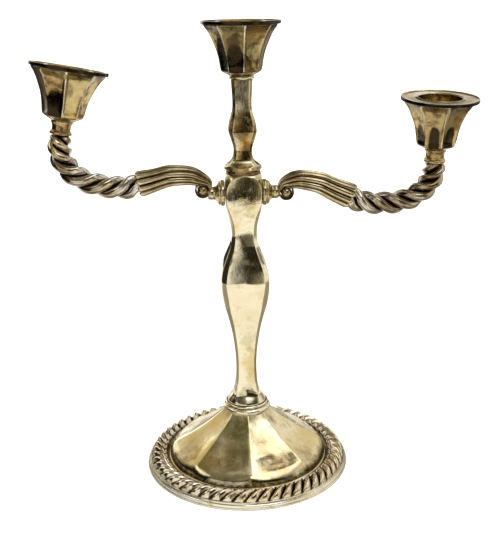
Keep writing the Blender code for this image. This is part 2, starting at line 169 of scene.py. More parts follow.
CUP_REFLECTION_ARCHES = {                # painted dark reflections shaped as arches: half width, rise, and darkness on the four front panels from left to right
    "left": (5.6, 10.5, (0.3, 1.2, 0.0, 0.0)),
    "centre": (4.9, 11.0, (0.8, 0.95, 0.4, 0.3)),
    "right": (3.2, 8.3, (0.7, 1.3, 0.8, 0.5)),
}
FIRST_REFLECTION_PANEL = 4
BACK_REFLECTION = 0.5               # darkness of the painted dark reflections on the panels behind
REFLECTION_FOOT = 5.0
BORE = 2.8                    # radius of the tie rod's hole
RIM_LIPS = {"left": 19.8, "centre": 19.2, "right": 19.8}      # radius where the dark edge begins
RIM_DARKENING = 0.4           # width over which it darkens


# -- Meshes --

ROUNDING_STEPS = 4            # points along a rounded corner
RELIEF_REACH = 0.55           # how far off the surroundings of a point are
GROOVE_GAIN = 5.0             # how strongly grooves and edges count
EDGE_GAIN = 4.0
SHARP_EDGE = 48.0             # degrees from which an edge is left sharp


def smooth(rows, steps):
    """A Catmull-Rom curve through rows of numbers, with so many steps between two rows."""
    out = []
    last = len(rows) - 1
    for k in range(last):
        before, a, b, after = rows[max(k - 1, 0)], rows[k], rows[k + 1], rows[min(k + 2, last)]
        for step in range(steps):
            t = step / steps
            out.append(tuple(
                0.5 * (2 * q + (r - p) * t + (2 * p - 5 * q + 4 * r - s) * t * t
                       + (3 * q - p - 3 * r + s) * t ** 3)
                for p, q, r, s in zip(before, a, b, after)))
    out.append(tuple(rows[last]))
    return out


def towards(here, there, reach):
    """The point that far from here on the way there, but short of the halfway point."""
    way = there - here
    length = np.linalg.norm(way)
    return here + way / length * min(reach, 0.45 * length)


def rounded(corners, radius, closed=True):
    """An outline with every corner cut back by the radius and turned into a small curve."""
    corners = [np.array(c, float) for c in corners]
    count = len(corners)
    out = [] if closed else [corners[0]]
    for k in range(count) if closed else range(1, count - 1):
        here = corners[k]
        start = towards(here, corners[k - 1], radius)
        end = towards(here, corners[(k + 1) % count], radius)
        for step in range(ROUNDING_STEPS + 1):
            t = step / ROUNDING_STEPS
            out.append(start * (1 - t) ** 2 + here * 2 * t * (1 - t) + end * t * t)
    if not closed:
        out.append(corners[-1])
    return out


def spread(outline, longest):
    """The same closed outline, with points added so that no step is longer than the longest."""
    out = []
    for k, a in enumerate(outline):
        b = outline[(k + 1) % len(outline)]
        pieces = max(1, math.ceil(np.linalg.norm(b - a) / longest))
        out += [a + (b - a) * i / pieces for i in range(pieces)]
    return out


def blurred(values, closed_rows):
    """Values on a grid averaged with their neighbours. Columns always run round and meet."""
    values = (np.roll(values, 1, 1) + 2 * values + np.roll(values, -1, 1)) / 4
    if closed_rows:
        return (np.roll(values, 1, 0) + 2 * values + np.roll(values, -1, 0)) / 4
    padded = np.pad(values, ((1, 1), (0, 0)), mode="edge")
    return (padded[:-2] + 2 * values + padded[2:]) / 4


def neighbours(points, row_step, column_step, closed_rows):
    """The four points a given number of rows and columns away from each point."""
    if closed_rows:
        before, after = np.roll(points, row_step, 0), np.roll(points, -row_step, 0)
    else:
        padded = np.pad(points, ((row_step, row_step), (0, 0), (0, 0)), mode="edge")
        before, after = padded[:-2 * row_step], padded[2 * row_step:]
    return before, after, np.roll(points, column_step, 1), np.roll(points, -column_step, 1)


def relief(points, normals, closed_rows):
    """How far each point lies in a groove (positive) or on an edge (negative) of its surroundings."""
    row_gap = np.linalg.norm(np.diff(points, axis=0), axis=2).mean()
    column_gap = np.linalg.norm(points - np.roll(points, 1, 1), axis=2).mean()
    row_step = int(np.clip(round(RELIEF_REACH / max(row_gap, 1e-6)), 1, points.shape[0] // 3))
    column_step = int(np.clip(round(RELIEF_REACH / max(column_gap, 1e-6)), 1, points.shape[1] // 6))
    around = neighbours(points, row_step, column_step, closed_rows)
    middle = sum(around) / 4
    distance = sum(np.linalg.norm(a - points, axis=2) for a in around) / 4 + 1e-6
    value = ((middle - points) * normals).sum(2) / distance
    for _ in range(2):
        value = blurred(value, closed_rows)
    return value


def placed(name, data):
    """A new object in the scene that shows the data."""
    made = bpy.data.objects.new(name, data)
    bpy.context.scene.collection.objects.link(made)
    return made


def point_values(mesh, name, values):
    """Give every point of the mesh a value from 0 to 1 that a material can read."""
    values = np.clip(values, 0.0, 1.0).astype(np.float32).ravel()
    mesh.attributes.new(name, "FLOAT", "POINT").data.foreach_set("value", values)


def grid_piece(name, node, body, rings, finish, closed=False, place=None, tarnish=None):
    """One closed piece from rings of equally many points, standing for a node of the CAD model.

    Tarnish, from 0 to 1, darkens the colour; some pieces use it for painted shade and painted dark
    reflections as well as tarnish. It is given for each ring or for each point of each ring.
    """
    points = np.array([np.asarray(ring, float) for ring in rings])
    if place is not None:
        matrix = np.array(place)
        points = points @ matrix[:3, :3].T + matrix[:3, 3]
    rows, columns = points.shape[:2]
    index = np.arange(rows * columns).reshape(rows, columns)
    low = index if closed else index[:-1]
    high = np.roll(index, -1, 0) if closed else index[1:]
    faces = np.stack([low, np.roll(low, -1, 1), np.roll(high, -1, 1), high], -1).reshape(-1, 4)

    flat = points.reshape(-1, 3)
    corners = flat[faces]
    areas = np.cross(corners[:, 2] - corners[:, 0], corners[:, 3] - corners[:, 1])
    outward = ((corners.mean(1) - flat.mean(0)) * areas).sum() > 0
    faces = faces.tolist()
    if not closed:
        faces += [index[0][::-1].tolist(), index[-1].tolist()]
    if not outward:
        faces = [face[::-1] for face in faces]

    before, after, left, right = neighbours(points, 1, 1, closed)
    normals = np.cross(right - left, after - before)
    normals /= np.linalg.norm(normals, axis=2, keepdims=True) + 1e-12
    if not outward:
        normals = -normals
    depth = relief(points, normals, closed).reshape(-1)

    mesh = bpy.data.meshes.new(name)
    mesh.from_pydata((flat * MM).tolist(), [], faces)
    mesh.validate()
    point_values(mesh, "groove", depth * GROOVE_GAIN)
    point_values(mesh, "edge", -depth * EDGE_GAIN)
    if tarnish is not None:
        point_values(mesh, "tarnish", np.stack([np.broadcast_to(row, columns) for row in tarnish]))
    mesh.shade_smooth()
    mesh.set_sharp_from_angle(angle=math.radians(SHARP_EDGE))
    mesh.materials.append(finish)
    piece = placed(name, mesh)
    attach(piece, body)
    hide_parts(node)


def all_round(columns):
    """So many angles, evenly spread over a full turn."""
    return np.arange(columns) * math.tau / columns


def on_angles(radii, angles, height):
    """Points round the axis, with one radius or height for all or one for each."""
    return np.stack([radii * np.cos(angles), radii * np.sin(angles), np.full(len(angles), height)], -1)


def round_rings(outline, columns):
    return [on_angles(radius, all_round(columns), height) for radius, height in outline]


def round_the_bore(rings):
    """The rings and two more that close them round the tie rod."""
    ends = [(BORE, rings[-1][0, 2]), (BORE, rings[0][0, 2])]
    return rings + round_rings(ends, len(rings[0]))


def turned(name, node, body, outline, finish, columns=144, place=None, tarnish=None):
    """A turned piece whose closed outline of (radius, height) never meets the axis."""
    rings = round_rings(outline, columns)
    grid_piece(name, node, body, rings, finish, closed=True, place=place, tarnish=tarnish)


def bored(name, node, outline, rounding, finish):
    """A turned ring of the stand, from the outer part of its outline, with the tie rod's bore in it."""
    outline = outline + [(BORE, outline[-1][1]), (BORE, outline[0][1])]
    turned(name, node, "stand", rounded(outline, rounding), finish)


def soft_polygon(angles, sides, power):
    """The radius at each angle of an outline with softly rounded corners.

    A side is (direction in degrees, distance, bow). A bow of 1 is flat, and less swells outwards.
    """
    nearest = min(distance for _, distance, _ in sides)
    total = np.zeros_like(angles)
    for direction, distance, bow in sides:
        cosine = np.maximum(np.cos(angles - math.radians(direction)), 1e-3)
        total += (cosine ** bow * nearest / distance) ** power
    return nearest * total ** (-1.0 / power)


def look_up(value, table):
    """What a table of (place, number) gives at the value, straight from row to row."""
    return np.interp(value, *zip(*table))


def panel_middles(angles):
    """0 on the ridges of an octagon and 1 in the middle of each panel."""
    return 0.5 - 0.5 * np.cos(PANELS * angles)


def octagon(angles, sharpness):
    """The radius at each angle of an eight-sided outline that reaches 1 on its ridges."""
    half = math.pi / PANELS
    sides = [(math.degrees(half) + 360.0 * k / PANELS, math.cos(half), 1.0) for k in range(PANELS)]
    shape = soft_polygon(angles, sides, sharpness)
    return shape / shape.max()


def lobed(angles, count, thinness):
    """So many lobes round an outline: 1 on their crests and 0 in the valleys between them."""
    return np.abs(np.cos(count * angles / 2)) ** thinness


def between_lobes(lobes, start):
    """1 in the valleys between lobes, falling to 0 where the lobes have risen to the start."""
    return np.clip((start - lobes) / (start * 0.7), 0.0, 1.0)


# -- Materials --

class Tree:
    """Short calls for building a node tree."""

    def __init__(self, owner):
        owner.use_nodes = True
        self.nodes = owner.node_tree.nodes
        self.links = owner.node_tree.links

    def add(self, kind, inputs=None, **settings):
        node = self.nodes.new(kind)
        for key, value in settings.items():
            setattr(node, key, value)
        for key, value in (inputs or {}).items():
            self.put(value, node.inputs[key])
        return node

    def put(self, value, socket):
        if isinstance(value, bpy.types.NodeSocket):
            self.links.new(value, socket)
        else:
            socket.default_value = value

    def maths(self, operation, a, b=0.0, clamp=False):
        return self.add("ShaderNodeMath", {0: a, 1: b}, operation=operation, use_clamp=clamp).outputs[0]

    def product(self, value, *factors):
        for factor in factors:
            value = self.maths("MULTIPLY", value, factor)
        return value

    def vectors(self, operation, a, b=(0.0, 0.0, 0.0)):
        return self.add("ShaderNodeVectorMath", {0: a, 1: b}, operation=operation)

    def ramp(self, value, start, end, low=0.0, high=1.0):
        """A smooth step from low to high as the value goes from start to end."""
        node = self.add("ShaderNodeMapRange", {0: value, 1: start, 2: end, 3: low, 4: high},
                        interpolation_type="SMOOTHSTEP")
        return node.outputs[0]

    def mix(self, factor, a, b):
        node = self.add("ShaderNodeMix", data_type="RGBA")
        self.put(factor, node.inputs[0])
        self.put(a, node.inputs[6])
        self.put(b, node.inputs[7])
        return node.outputs[2]

    def noise(self, place, scale, detail, roughness, stretch=None):
        if stretch is not None:
            place = self.add("ShaderNodeMapping", {"Vector": place, "Scale": stretch}).outputs[0]
        return self.add("ShaderNodeTexNoise", {"Vector": place, "Scale": scale, "Detail": detail,
                                               "Roughness": roughness}).outputs[0]

    def bump(self, height, strength, distance, **under):
        inputs = {"Height": height, "Strength": strength, "Distance": distance, **under}
        return self.add("ShaderNodeBump", inputs).outputs[0]


def colour(red, green, blue):
    return (red, green, blue, 1.0)


PALE = colour(0.89, 0.83, 0.66)      # worn silver over brass, and the colour of painted highlights
GOLD = colour(0.66, 0.52, 0.24)      # bare brass shining through
BRONZE = colour(0.36, 0.26, 0.115)   # brass that has darkened all over
MAUVE = colour(0.74, 0.67, 0.58)     # thicker silver with a purple cast
BROWN = colour(0.13, 0.085, 0.035)   # tarnish
DARKENED = colour(0.042, 0.03, 0.016)  # brass gone dark in patches, and the colour of painted shade and painted dark reflections
BLACK = colour(0.02, 0.014, 0.008)   # old polish and dirt in the deepest lines
OLIVE = colour(0.42, 0.36, 0.16)     # stains, from light to dark
AMBER = colour(0.50, 0.26, 0.06)
RUST = colour(0.50, 0.24, 0.05)
PEAT = colour(0.24, 0.13, 0.04)
UMBER = colour(0.20, 0.13, 0.05)
SOOT = colour(0.08, 0.05, 0.02)

CLOUDS = (55.0, 4.0, 0.6)     # scale, detail and roughness of each kind of unevenness
PATCHES = (160.0, 5.0, 0.65)
SPECKS = (900.0, 3.0, 0.7)
SCRATCHES = (500.0, 2.0, 0.5)
SWELLS = (85.0, 1.0, 0.4)
STAIN_SHAPE = (1.0, 1.0, 0.55)       # stains are stretched upwards


def plated(name, pale=PALE, deep=GOLD, gilding=0.45, tarnish=0.4, grime=0.8, roughness=0.12, ripple=0.35,
           mottle=0.5, mottle_tone=colour(0.45, 0.31, 0.12), stains_and_painted_light=(), edge_wear_and_highlight=0.55):
    """Worn silver plate: gilding is how much brass shows through, ripple how uneven its polish is."""
    material = bpy.data.materials.new(name)
    tree = Tree(material)
    shader = tree.nodes["Principled BSDF"]
    place = tree.add("ShaderNodeTexCoord").outputs["Object"]
    groove, edge, painted_dark = (tree.add("ShaderNodeAttribute", attribute_name=value).outputs["Fac"]
                           for value in ("groove", "edge", "tarnish"))
    clouds = tree.noise(place, *CLOUDS)
    patches = tree.noise(place, *PATCHES)
    specks = tree.noise(place, *SPECKS)
    scratches = tree.noise(place, *SCRATCHES, stretch=(6.0, 6.0, 0.35))
    off_middle = tree.maths("SUBTRACT", patches, 0.5)

    worn = tree.product(tree.ramp(clouds, 0.38, 0.66), gilding)
    base = tree.mix(tree.maths("ADD", worn, gilding * 0.45, clamp=True), pale, deep)
    stained = tree.product(tree.ramp(patches, 0.60 - 0.16 * mottle, 0.76 - 0.14 * mottle), mottle)
    base = tree.mix(stained, base, mottle_tone)
    torn = tree.product(off_middle, 3.2)
    # stains, and painted highlights and painted dark reflections where a list gives them
    for centre, radius, tone, strength in stains_and_painted_light:
        away = tree.vectors("SUBTRACT", place, tuple(c * MM for c in centre)).outputs[0]
        away = tree.vectors("MULTIPLY", away, STAIN_SHAPE).outputs[0]
        away = tree.vectors("LENGTH", away).outputs["Value"]
        reach = tree.maths("ADD", tree.maths("DIVIDE", away, radius * MM), torn)
        base = tree.mix(tree.product(tree.ramp(reach, 0.2, 1.2, 1.0, 0.0), strength), base, tone)
    spotted = tree.product(tree.ramp(specks, 0.60, 0.74), tarnish)
    base = tree.mix(spotted, base, BROWN)
    # the tarnish attribute: tarnish, painted shade and painted dark reflections
    ragged = tree.maths("ADD", painted_dark, tree.product(off_middle, 0.9))
    base = tree.mix(tree.product(tree.ramp(ragged, 0.1, 0.8), tree.ramp(painted_dark, 0.0, 0.3)), base, DARKENED)
    sunk = tree.product(tree.ramp(groove, 0.06, 0.55), grime)
    base = tree.mix(sunk, base, BROWN)
    base = tree.mix(tree.product(tree.ramp(groove, 0.45, 1.0), grime), base, BLACK)
    # painted highlight on convex edges and ridges, over silver worn bright there
    base = tree.mix(tree.product(tree.ramp(edge, 0.25, 0.9), edge_wear_and_highlight), base, PALE)
    tree.put(base, shader.inputs["Base Color"])

    dull = tree.maths("ADD", tree.product(stained, 0.35), tree.product(sunk, 0.3))
    dull = tree.maths("ADD", dull, tree.product(spotted, 0.25))
    dull = tree.maths("ADD", dull, tree.ramp(scratches, 0.35, 0.75, roughness * 0.7, roughness * 1.7))
    tree.put(dull, shader.inputs["Roughness"])
    shader.inputs["Metallic"].default_value = 1.0

    swell = tree.bump(tree.noise(place, *SWELLS), ripple, 0.0009)
    hammer = tree.bump(patches, ripple * 0.5, 0.0003, Normal=swell)
    fine = tree.bump(tree.maths("ADD", specks, scratches), 0.12, 0.00008, Normal=hammer)
    tree.put(fine, shader.inputs["Normal"])
    return material


def plain(name, base, second, scale, roughness, metallic, bump):
    """A simple finish: two colours mixed by noise, and a fine uneven surface."""
    material = bpy.data.materials.new(name)
    tree = Tree(material)
    shader = tree.nodes["Principled BSDF"]
    place = tree.add("ShaderNodeTexCoord").outputs["Object"]
    grain = tree.noise(place, scale, 4.0, 0.6)
    tree.put(tree.mix(tree.ramp(grain, 0.3, 0.7), base, second), shader.inputs["Base Color"])
    dull = tree.ramp(grain, 0.2, 0.8, roughness * 0.85, min(1.0, roughness * 1.15))
    tree.put(dull, shader.inputs["Roughness"])
    shader.inputs["Metallic"].default_value = metallic
    tree.put(tree.bump(grain, bump, 0.0002), shader.inputs["Normal"])
    return material


# Stains and painted highlights: centre and radius in mm, colour, strength
STEM_STAINS_AND_PAINTED_LIGHT = [
    ((1.5, -6.0, 183.5), 5.0, RUST, 0.9), ((2.0, -6.0, 180.5), 4.0, PEAT, 0.9),
    ((-4.0, -5.0, 185.0), 3.0, PALE, 0.8), ((1.0, -5.0, 178.0), 3.5, BROWN, 0.9),
    # on the front of the stem's flared foot: a painted dark reflection on the left and a painted
    # highlight on the right
    ((-4.0, -8.0, 173.0), 3.5, BROWN, 0.9), ((2.5, -8.0, 173.5), 3.0, PALE, 0.9),
    ((8.0, -6.0, 172.5), 3.0, MAUVE, 0.6), ((0.5, -6.5, 192.0), 6.0, BROWN, 0.95),
    ((-1.5, -6.0, 199.0), 6.0, UMBER, 0.9), ((0.0, -5.0, 204.0), 5.0, OLIVE, 0.6),
    ((-4.0, -5.0, 209.0), 5.0, UMBER, 0.9), ((2.5, -5.0, 211.0), 7.0, PALE, 1.0),
]
COLUMN_STAINS = [
    ((2.5, -6.0, 62.0), 5.0, GOLD, 0.8), ((3.5, -6.0, 52.0), 4.0, AMBER, 0.30),
    ((1.5, -7.0, 76.0), 4.5, OLIVE, 0.45), ((-4.0, -9.0, 140.0), 3.5, GOLD, 0.7),
    ((4.0, -9.5, 152.0), 4.0, GOLD, 0.6), ((-5.0, -9.0, 148.0), 2.5, AMBER, 0.3),
    ((0.0, -10.0, 163.0), 9.0, OLIVE, 0.9), ((9.0, -8.0, 163.0), 5.0, OLIVE, 0.8),
    ((-9.0, -8.0, 163.0), 5.0, OLIVE, 0.8), ((3.0, -10.0, 120.0), 6.0, OLIVE, 0.6),
    ((-7.0, -11.0, 114.0), 4.0, MAUVE, 0.6), ((0.0, -9.7, 156.6), 2.6, UMBER, 0.35),
    ((4.5, -9.7, 156.2), 2.2, UMBER, 0.35),
]
CUP_STAINS = [                # the centre cup is the darkest
    ((-6.0, -15.0, 239.0), 8.0, OLIVE, 0.85), ((-5.0, -12.0, 233.0), 8.0, SOOT, 0.98),
    ((8.0, -15.0, 239.0), 7.0, AMBER, 0.8), ((6.0, -12.0, 230.0), 6.0, OLIVE, 0.8),
    ((-12.0, -8.0, 235.0), 6.0, UMBER, 0.7), ((98.0, -15.0, 196.0), 8.0, UMBER, 0.5),
    ((88.0, -12.0, 190.0), 7.0, UMBER, 0.8), ((110.0, -12.0, 190.0), 6.0, AMBER, 0.4),
    ((-92.0, -13.0, 192.0), 6.0, OLIVE, 0.6), ((-98.0, -12.0, 196.0), 5.0, AMBER, 0.35),
]
FOOT_STAINS = [
    ((-4.0, -17.0, 26.0), 8.0, OLIVE, 0.85), ((-9.0, -30.0, 17.0), 11.0, OLIVE, 0.7),
    ((-24.0, -22.0, 17.0), 11.0, GOLD, 0.7), ((-33.0, -14.0, 14.0), 9.0, UMBER, 0.35),
    ((17.0, -33.0, 14.5), 7.0, AMBER, 0.30), ((8.0, -37.0, 13.0), 4.0, GOLD, 0.8),
    ((13.0, -8.0, 28.5), 4.0, UMBER, 0.7), ((31.0, -22.0, 13.0), 6.0, UMBER, 0.5),
    ((-37.0, -22.0, 9.0), 6.0, UMBER, 0.5), ((36.0, -2.0, 15.0), 10.0, GOLD, 0.6),
]
# a painted highlight on the far wall inside the right socket
RIM_PAINTED_HIGHLIGHT = [((97.0, 9.0, 203.0), 9.0, PALE, 0.95)]
HORN_STAINS_AND_HIGHLIGHTS = [
    ((27.0, -4.0, 167.0), 10.0, UMBER, 0.9), ((20.0, -6.0, 164.0), 4.0, UMBER, 0.5),
    # the PALE patches low on both horns are painted highlights
    ((38.0, -7.0, 154.0), 5.0, PALE, 0.5), ((-24.0, -5.0, 169.0), 9.0, UMBER, 0.85),
    ((-44.0, -6.0, 164.0), 8.0, UMBER, 0.75), ((-33.0, -7.0, 160.0), 4.0, PALE, 0.5),
]
ROPE_STAINS = [
    ((76.0, -6.0, 149.0), 7.0, UMBER, 0.8), ((86.0, -6.0, 153.0), 7.0, UMBER, 0.75),
    ((99.0, -5.0, 165.0), 8.0, UMBER, 0.9), ((-95.0, -5.0, 171.0), 7.0, UMBER, 0.8),
    ((-97.0, -4.0, 184.0), 5.0, GOLD, 0.8), ((-80.0, -6.0, 163.0), 5.0, UMBER, 0.5),
]

LOOKS = {
    "foot": dict(gilding=0.6, tarnish=0.3, ripple=0.6, mottle=0.4, stains_and_painted_light=FOOT_STAINS),
    "column": dict(gilding=0.22, tarnish=0.28, ripple=0.34, mottle=0.38, roughness=0.08,
                   stains_and_painted_light=COLUMN_STAINS),
    "stem": dict(pale=colour(0.66, 0.57, 0.36), deep=colour(0.52, 0.38, 0.15), gilding=0.60, tarnish=0.5,
                 ripple=0.4, mottle=0.6, roughness=0.13, stains_and_painted_light=STEM_STAINS_AND_PAINTED_LIGHT),
    "neck": dict(pale=colour(0.24, 0.15, 0.08), deep=BROWN, gilding=0.6, tarnish=0.6, ripple=0.5,
                 mottle=0.7, roughness=0.16),
    "arm": dict(pale=colour(0.72, 0.63, 0.44), deep=colour(0.42, 0.32, 0.14), gilding=0.6, grime=1.0,
                ripple=0.25, stains_and_painted_light=HORN_STAINS_AND_HIGHLIGHTS, edge_wear_and_highlight=0.35),
    "ferrule": dict(pale=colour(0.72, 0.57, 0.28), deep=colour(0.30, 0.20, 0.10), gilding=0.9,
                    tarnish=0.5, grime=1.0, ripple=0.4, mottle=0.7, roughness=0.13, edge_wear_and_highlight=0.3),
    "rope": dict(pale=colour(0.76, 0.73, 0.72), deep=colour(0.44, 0.34, 0.16), gilding=0.5, grime=1.0,
                 mottle=0.7, mottle_tone=colour(0.22, 0.15, 0.09), roughness=0.09, stains_and_painted_light=ROPE_STAINS,
                 edge_wear_and_highlight=0.2),
    "border": dict(pale=colour(0.88, 0.82, 0.72), deep=colour(0.58, 0.44, 0.20), tarnish=0.5, grime=1.0,
                   ripple=0.15, edge_wear_and_highlight=0.35),
    "band": dict(pale=colour(0.92, 0.89, 0.80), gilding=0.3, tarnish=0.7, grime=1.0, ripple=0.5,
                 roughness=0.2),
    "cup": dict(pale=colour(0.76, 0.65, 0.34), deep=colour(0.36, 0.25, 0.10), gilding=0.8, tarnish=0.7,
                grime=0.9, ripple=0.9, mottle=0.85, mottle_tone=colour(0.20, 0.12, 0.06), roughness=0.11,
                stains_and_painted_light=CUP_STAINS, edge_wear_and_highlight=1.0),
    "rim": dict(pale=GOLD, deep=BRONZE, gilding=0.9, ripple=0.2, roughness=0.14, stains_and_painted_light=RIM_PAINTED_HIGHLIGHT,
                edge_wear_and_highlight=0.1),
}
FINISHES = {name: plated(f"{name}_plate", **looks) for name, looks in LOOKS.items()}


# -- Foot --

def foot():
    columns = 384
    angles = all_round(columns)
    outline = octagon(angles, PANEL_SHARPNESS)
    rings = []
    for radius, height, roundness in smooth(PANEL_EDGE, 12):
        roundness = min(max(roundness, 0.0), 1.0)
        shape = outline + (1.0 - outline) * roundness
        dip = PANEL_DIP * (1.0 - roundness) * min(1.0, radius / 30.0)
        rings.append(on_angles(radius * shape - dip * panel_middles(angles), angles, height))
    flange = rounded([(44.2, 6.2), (44.4, 5.4), (45.0, 5.1), (45.5, 5.3), (45.7, 5.9), (46.2, 6.0),
                      (46.4, 5.5), (46.4, FLANGE_TOP), (54.3, FLANGE_TOP), (54.3, 2.6), (43.0, 2.6)],
                     0.25, closed=False)[1:]
    top = PANEL_EDGE[0][1]
    inside = [(42.0, 4.0), (38.0, 10.6), (27.0, 17.6), (15.0, 26.5), (6.0, top - 1.3), (6.0, top)]
    rings += round_rings(flange + inside, columns)
    grid_piece("foot_panels", "foot_dome", "stand", rings, FINISHES["foot"], closed=True,
               tarnish=[look_up(ring[0, 2], PANEL_DARKENING) for ring in rings])


def border():
    """The ring of gadroons: fat slanting lobes."""
    columns = GADROONS * 20
    angles = all_round(columns)
    lobes = lobed(angles, GADROONS, 0.85)
    rings = []
    for crest, valley in zip(smooth(GADROON_CREST, 4), smooth(GADROON_VALLEY, 4)):
        radius, height = (low + (high - low) * lobes for low, high in zip(valley, crest))
        across = (crest[0] - BORDER_MIDDLE) / BORDER_WIDTH
        lean = math.radians(GADROON_LEAN) * (across + 0.55 * across * across)
        rings.append(on_angles(radius, angles - lean, height))
    rings += round_rings([(50.8, BORDER_BASE)], columns)
    # painted shade and tarnish in the valleys between the gadroons
    grid_piece("foot_gadroons", "foot_rope_border", "stand", rings, FINISHES["border"],
               closed=True, tarnish=[between_lobes(lobes, 0.62)] * len(rings))


def band():
    outline = rounded([(54.6, 0.2), (57.2, 0.2), (57.2, 1.0), (56.9, 1.3), (56.7, 2.5), (56.2, 3.0),
                       (55.9, FLANGE_TOP), (54.6, FLANGE_TOP)], 0.22)
    turned("foot_step", "foot_band", "stand", outline, FINISHES["band"], columns=320)


# -- Column --

def chamfered(half_width, flat, angles, power, bow, dome):
    """The outline of a square with its corners cut off, kept inside the radius of a dome."""
    corner = half_width * (1.0 + flat) / math.sqrt(2.0)
    sides = [(90.0 * k, half_width, bow) for k in range(4)]
    sides += [(90.0 * k + 45.0, corner, bow) for k in range(4)]
    radii = soft_polygon(angles, sides, power)
    return (radii ** -power + dome ** -power) ** (-1.0 / power)


def dented(radii, angles, half_width, height):
    """The column's radii at a height, with its dents sunk and its bumps raised."""
    for direction, at, size, depth in DENTS:
        aside = (angles - math.radians(direction) + math.pi) % math.tau - math.pi
        radii = radii - depth * np.exp(-((aside * half_width) ** 2 + (height - at) ** 2) / size ** 2)
    return radii


def flare_darkening(angles, height):
    from_face = np.abs((np.degrees(angles) + 45.0) % 90.0 - 45.0)
    across = (from_face / FLARE_SPREAD) ** 3
    along = (abs(height - FLARE_HEIGHT) / FLARE_REACH) ** 3
    return FLARE_DARKENING * np.clip(2.0 - 2.0 * across - 2.0 * along, 0.0, 1.0)


def column():
    bored("collar_ring_low", "collar_ring_lower",
          [(12.3, 32.6), (12.8, 32.7), (13.3, 33.3), (13.4, 34.1), (13.1, 34.9), (12.5, 35.5)],
          0.3, FINISHES["band"])
    bored("collar_ring_high", "collar_ring_upper",
          [(11.2, 35.6), (11.5, 35.9), (12.0, 36.3), (12.05, 36.8), (11.6, 37.4)],
          0.25, FINISHES["column"])

    angles = all_round(288)
    rings = []
    for half_width, height, flat in smooth(COLUMN_EDGE, 7):
        radii = chamfered(half_width, flat, angles, COLUMN_SHARPNESS, look_up(height, COLUMN_BOW),
                          look_up(height, SHOULDER_DOME))
        rings.append(on_angles(dented(radii, angles, half_width, height), angles, height))
    rings = round_the_bore(rings)
    grid_piece("column_baluster", "lower_column", "stand", rings, FINISHES["column"],
               closed=True, tarnish=[flare_darkening(angles, ring[0, 2]) for ring in rings])
    bored("column_neck", "neck_ring",
          [(9.4, 168.3), (9.1, 168.7), (8.9, 169.2), (8.9, 169.9), (9.2, 170.5)], 0.2, FINISHES["neck"])

    rings = []
    for half_width, height in smooth(STEM_EDGE, 7):
        radii = chamfered(half_width, STEM_FLAT, angles, STEM_SHARPNESS, STEM_BOW, STEM_FLANGE)
        rings.append(on_angles(radii, angles, height))
    grid_piece("stem_baluster", "upper_stem", "stand", round_the_bore(rings),
               FINISHES["stem"], closed=True)
    bored("stem_seat", "stem_seat_ring",
          [(5.6, 216.7), (6.1, 216.9), (6.6, 217.4), (6.6, 217.9), (6.3, 218.4)], 0.25, FINISHES["stem"])


# -- Arms --

def directions(points):
    """The way that the line runs at each of its points."""
    out = []
    for a, b in zip(points[:1] + points[:-1], points[1:] + points[-1:]):
        length = math.dist(a, b)
        out.append(((b[0] - a[0]) / length, (b[1] - a[1]) / length))
    return out


def section_ring(centre, along, side, back, hand, forward=0.0):
    """Points round the arm's line: side is to its left, back is along +Y, forward is along it."""
    (out, up), (t_out, t_up) = centre, along
    x = out - t_up * side + t_out * forward
    z = up + t_out * side + t_up * forward
    return np.stack([hand * x, back + np.zeros_like(x), z], -1)


def scroll_and_horn(side):
    """Rows of out, up, half height and half width, from the free end of the scroll to the cut end."""
    out, up = BALL_PLACES[side]
    rows = [(out + SCROLL_RADIUS * math.cos(math.radians(angle)),
             up + SCROLL_RADIUS * math.sin(math.radians(angle)), 0.5 + 0.03 * k, 3.9 + 0.06 * k)
            for k, angle in enumerate(SCROLL_ANGLES)]
    return rows + [(out - 3.5, up + 2.3, 1.1, 4.4), (out - 1.9, up + 4.5, 2.5, 4.6)] + HORN


def horn(side, hand, points, ways, sizes, place):
    """The reeded horn, from the scroll round its ball to the scalloped end that the rope comes out of."""
    angles = all_round(REEDS * 14)
    reeds = lobed(angles, REEDS, 0.75)
    full = HORN[-1][2]
    shift, slant = CUT_BACK[side]
    rings = []

    def add(centre, along, high, wide, shrink=1.0, forward=0.0, cut=0.0):
        depth = 0.07 + 0.15 * min(1.0, high / full)
        swell = (1.0 - depth * (1.0 - reeds)) * shrink
        forward = forward + cut * (shift + slant * np.cos(angles) + 0.5 * (reeds - 0.5))
        rings.append(section_ring(centre, along, high * swell * np.cos(angles),
                                  wide * swell * np.sin(angles), hand, forward))

    for shrink, forward in HORN_START:
        add(points[0], ways[0], *sizes[0], shrink, forward)
    for centre, along, (high, wide) in zip(points, ways, sizes):
        nearness = 1.0 - math.dist(centre, points[-1]) / HORN_CUT_REACH
        add(centre, along, high, wide, cut=max(0.0, nearness))
    for shrink, forward in HORN_LIP:
        add(points[-1], ways[-1], *sizes[-1], shrink, forward * (0.3 + 0.9 * reeds), 1.0)
    # painted shade and tarnish in the valleys between the reeds
    grid_piece(f"horn_{side}", f"arm_horn_{side}", "stand", rings, FINISHES["arm"],
               place=place, tarnish=[between_lobes(reeds, 0.66) * 0.85] * len(rings))


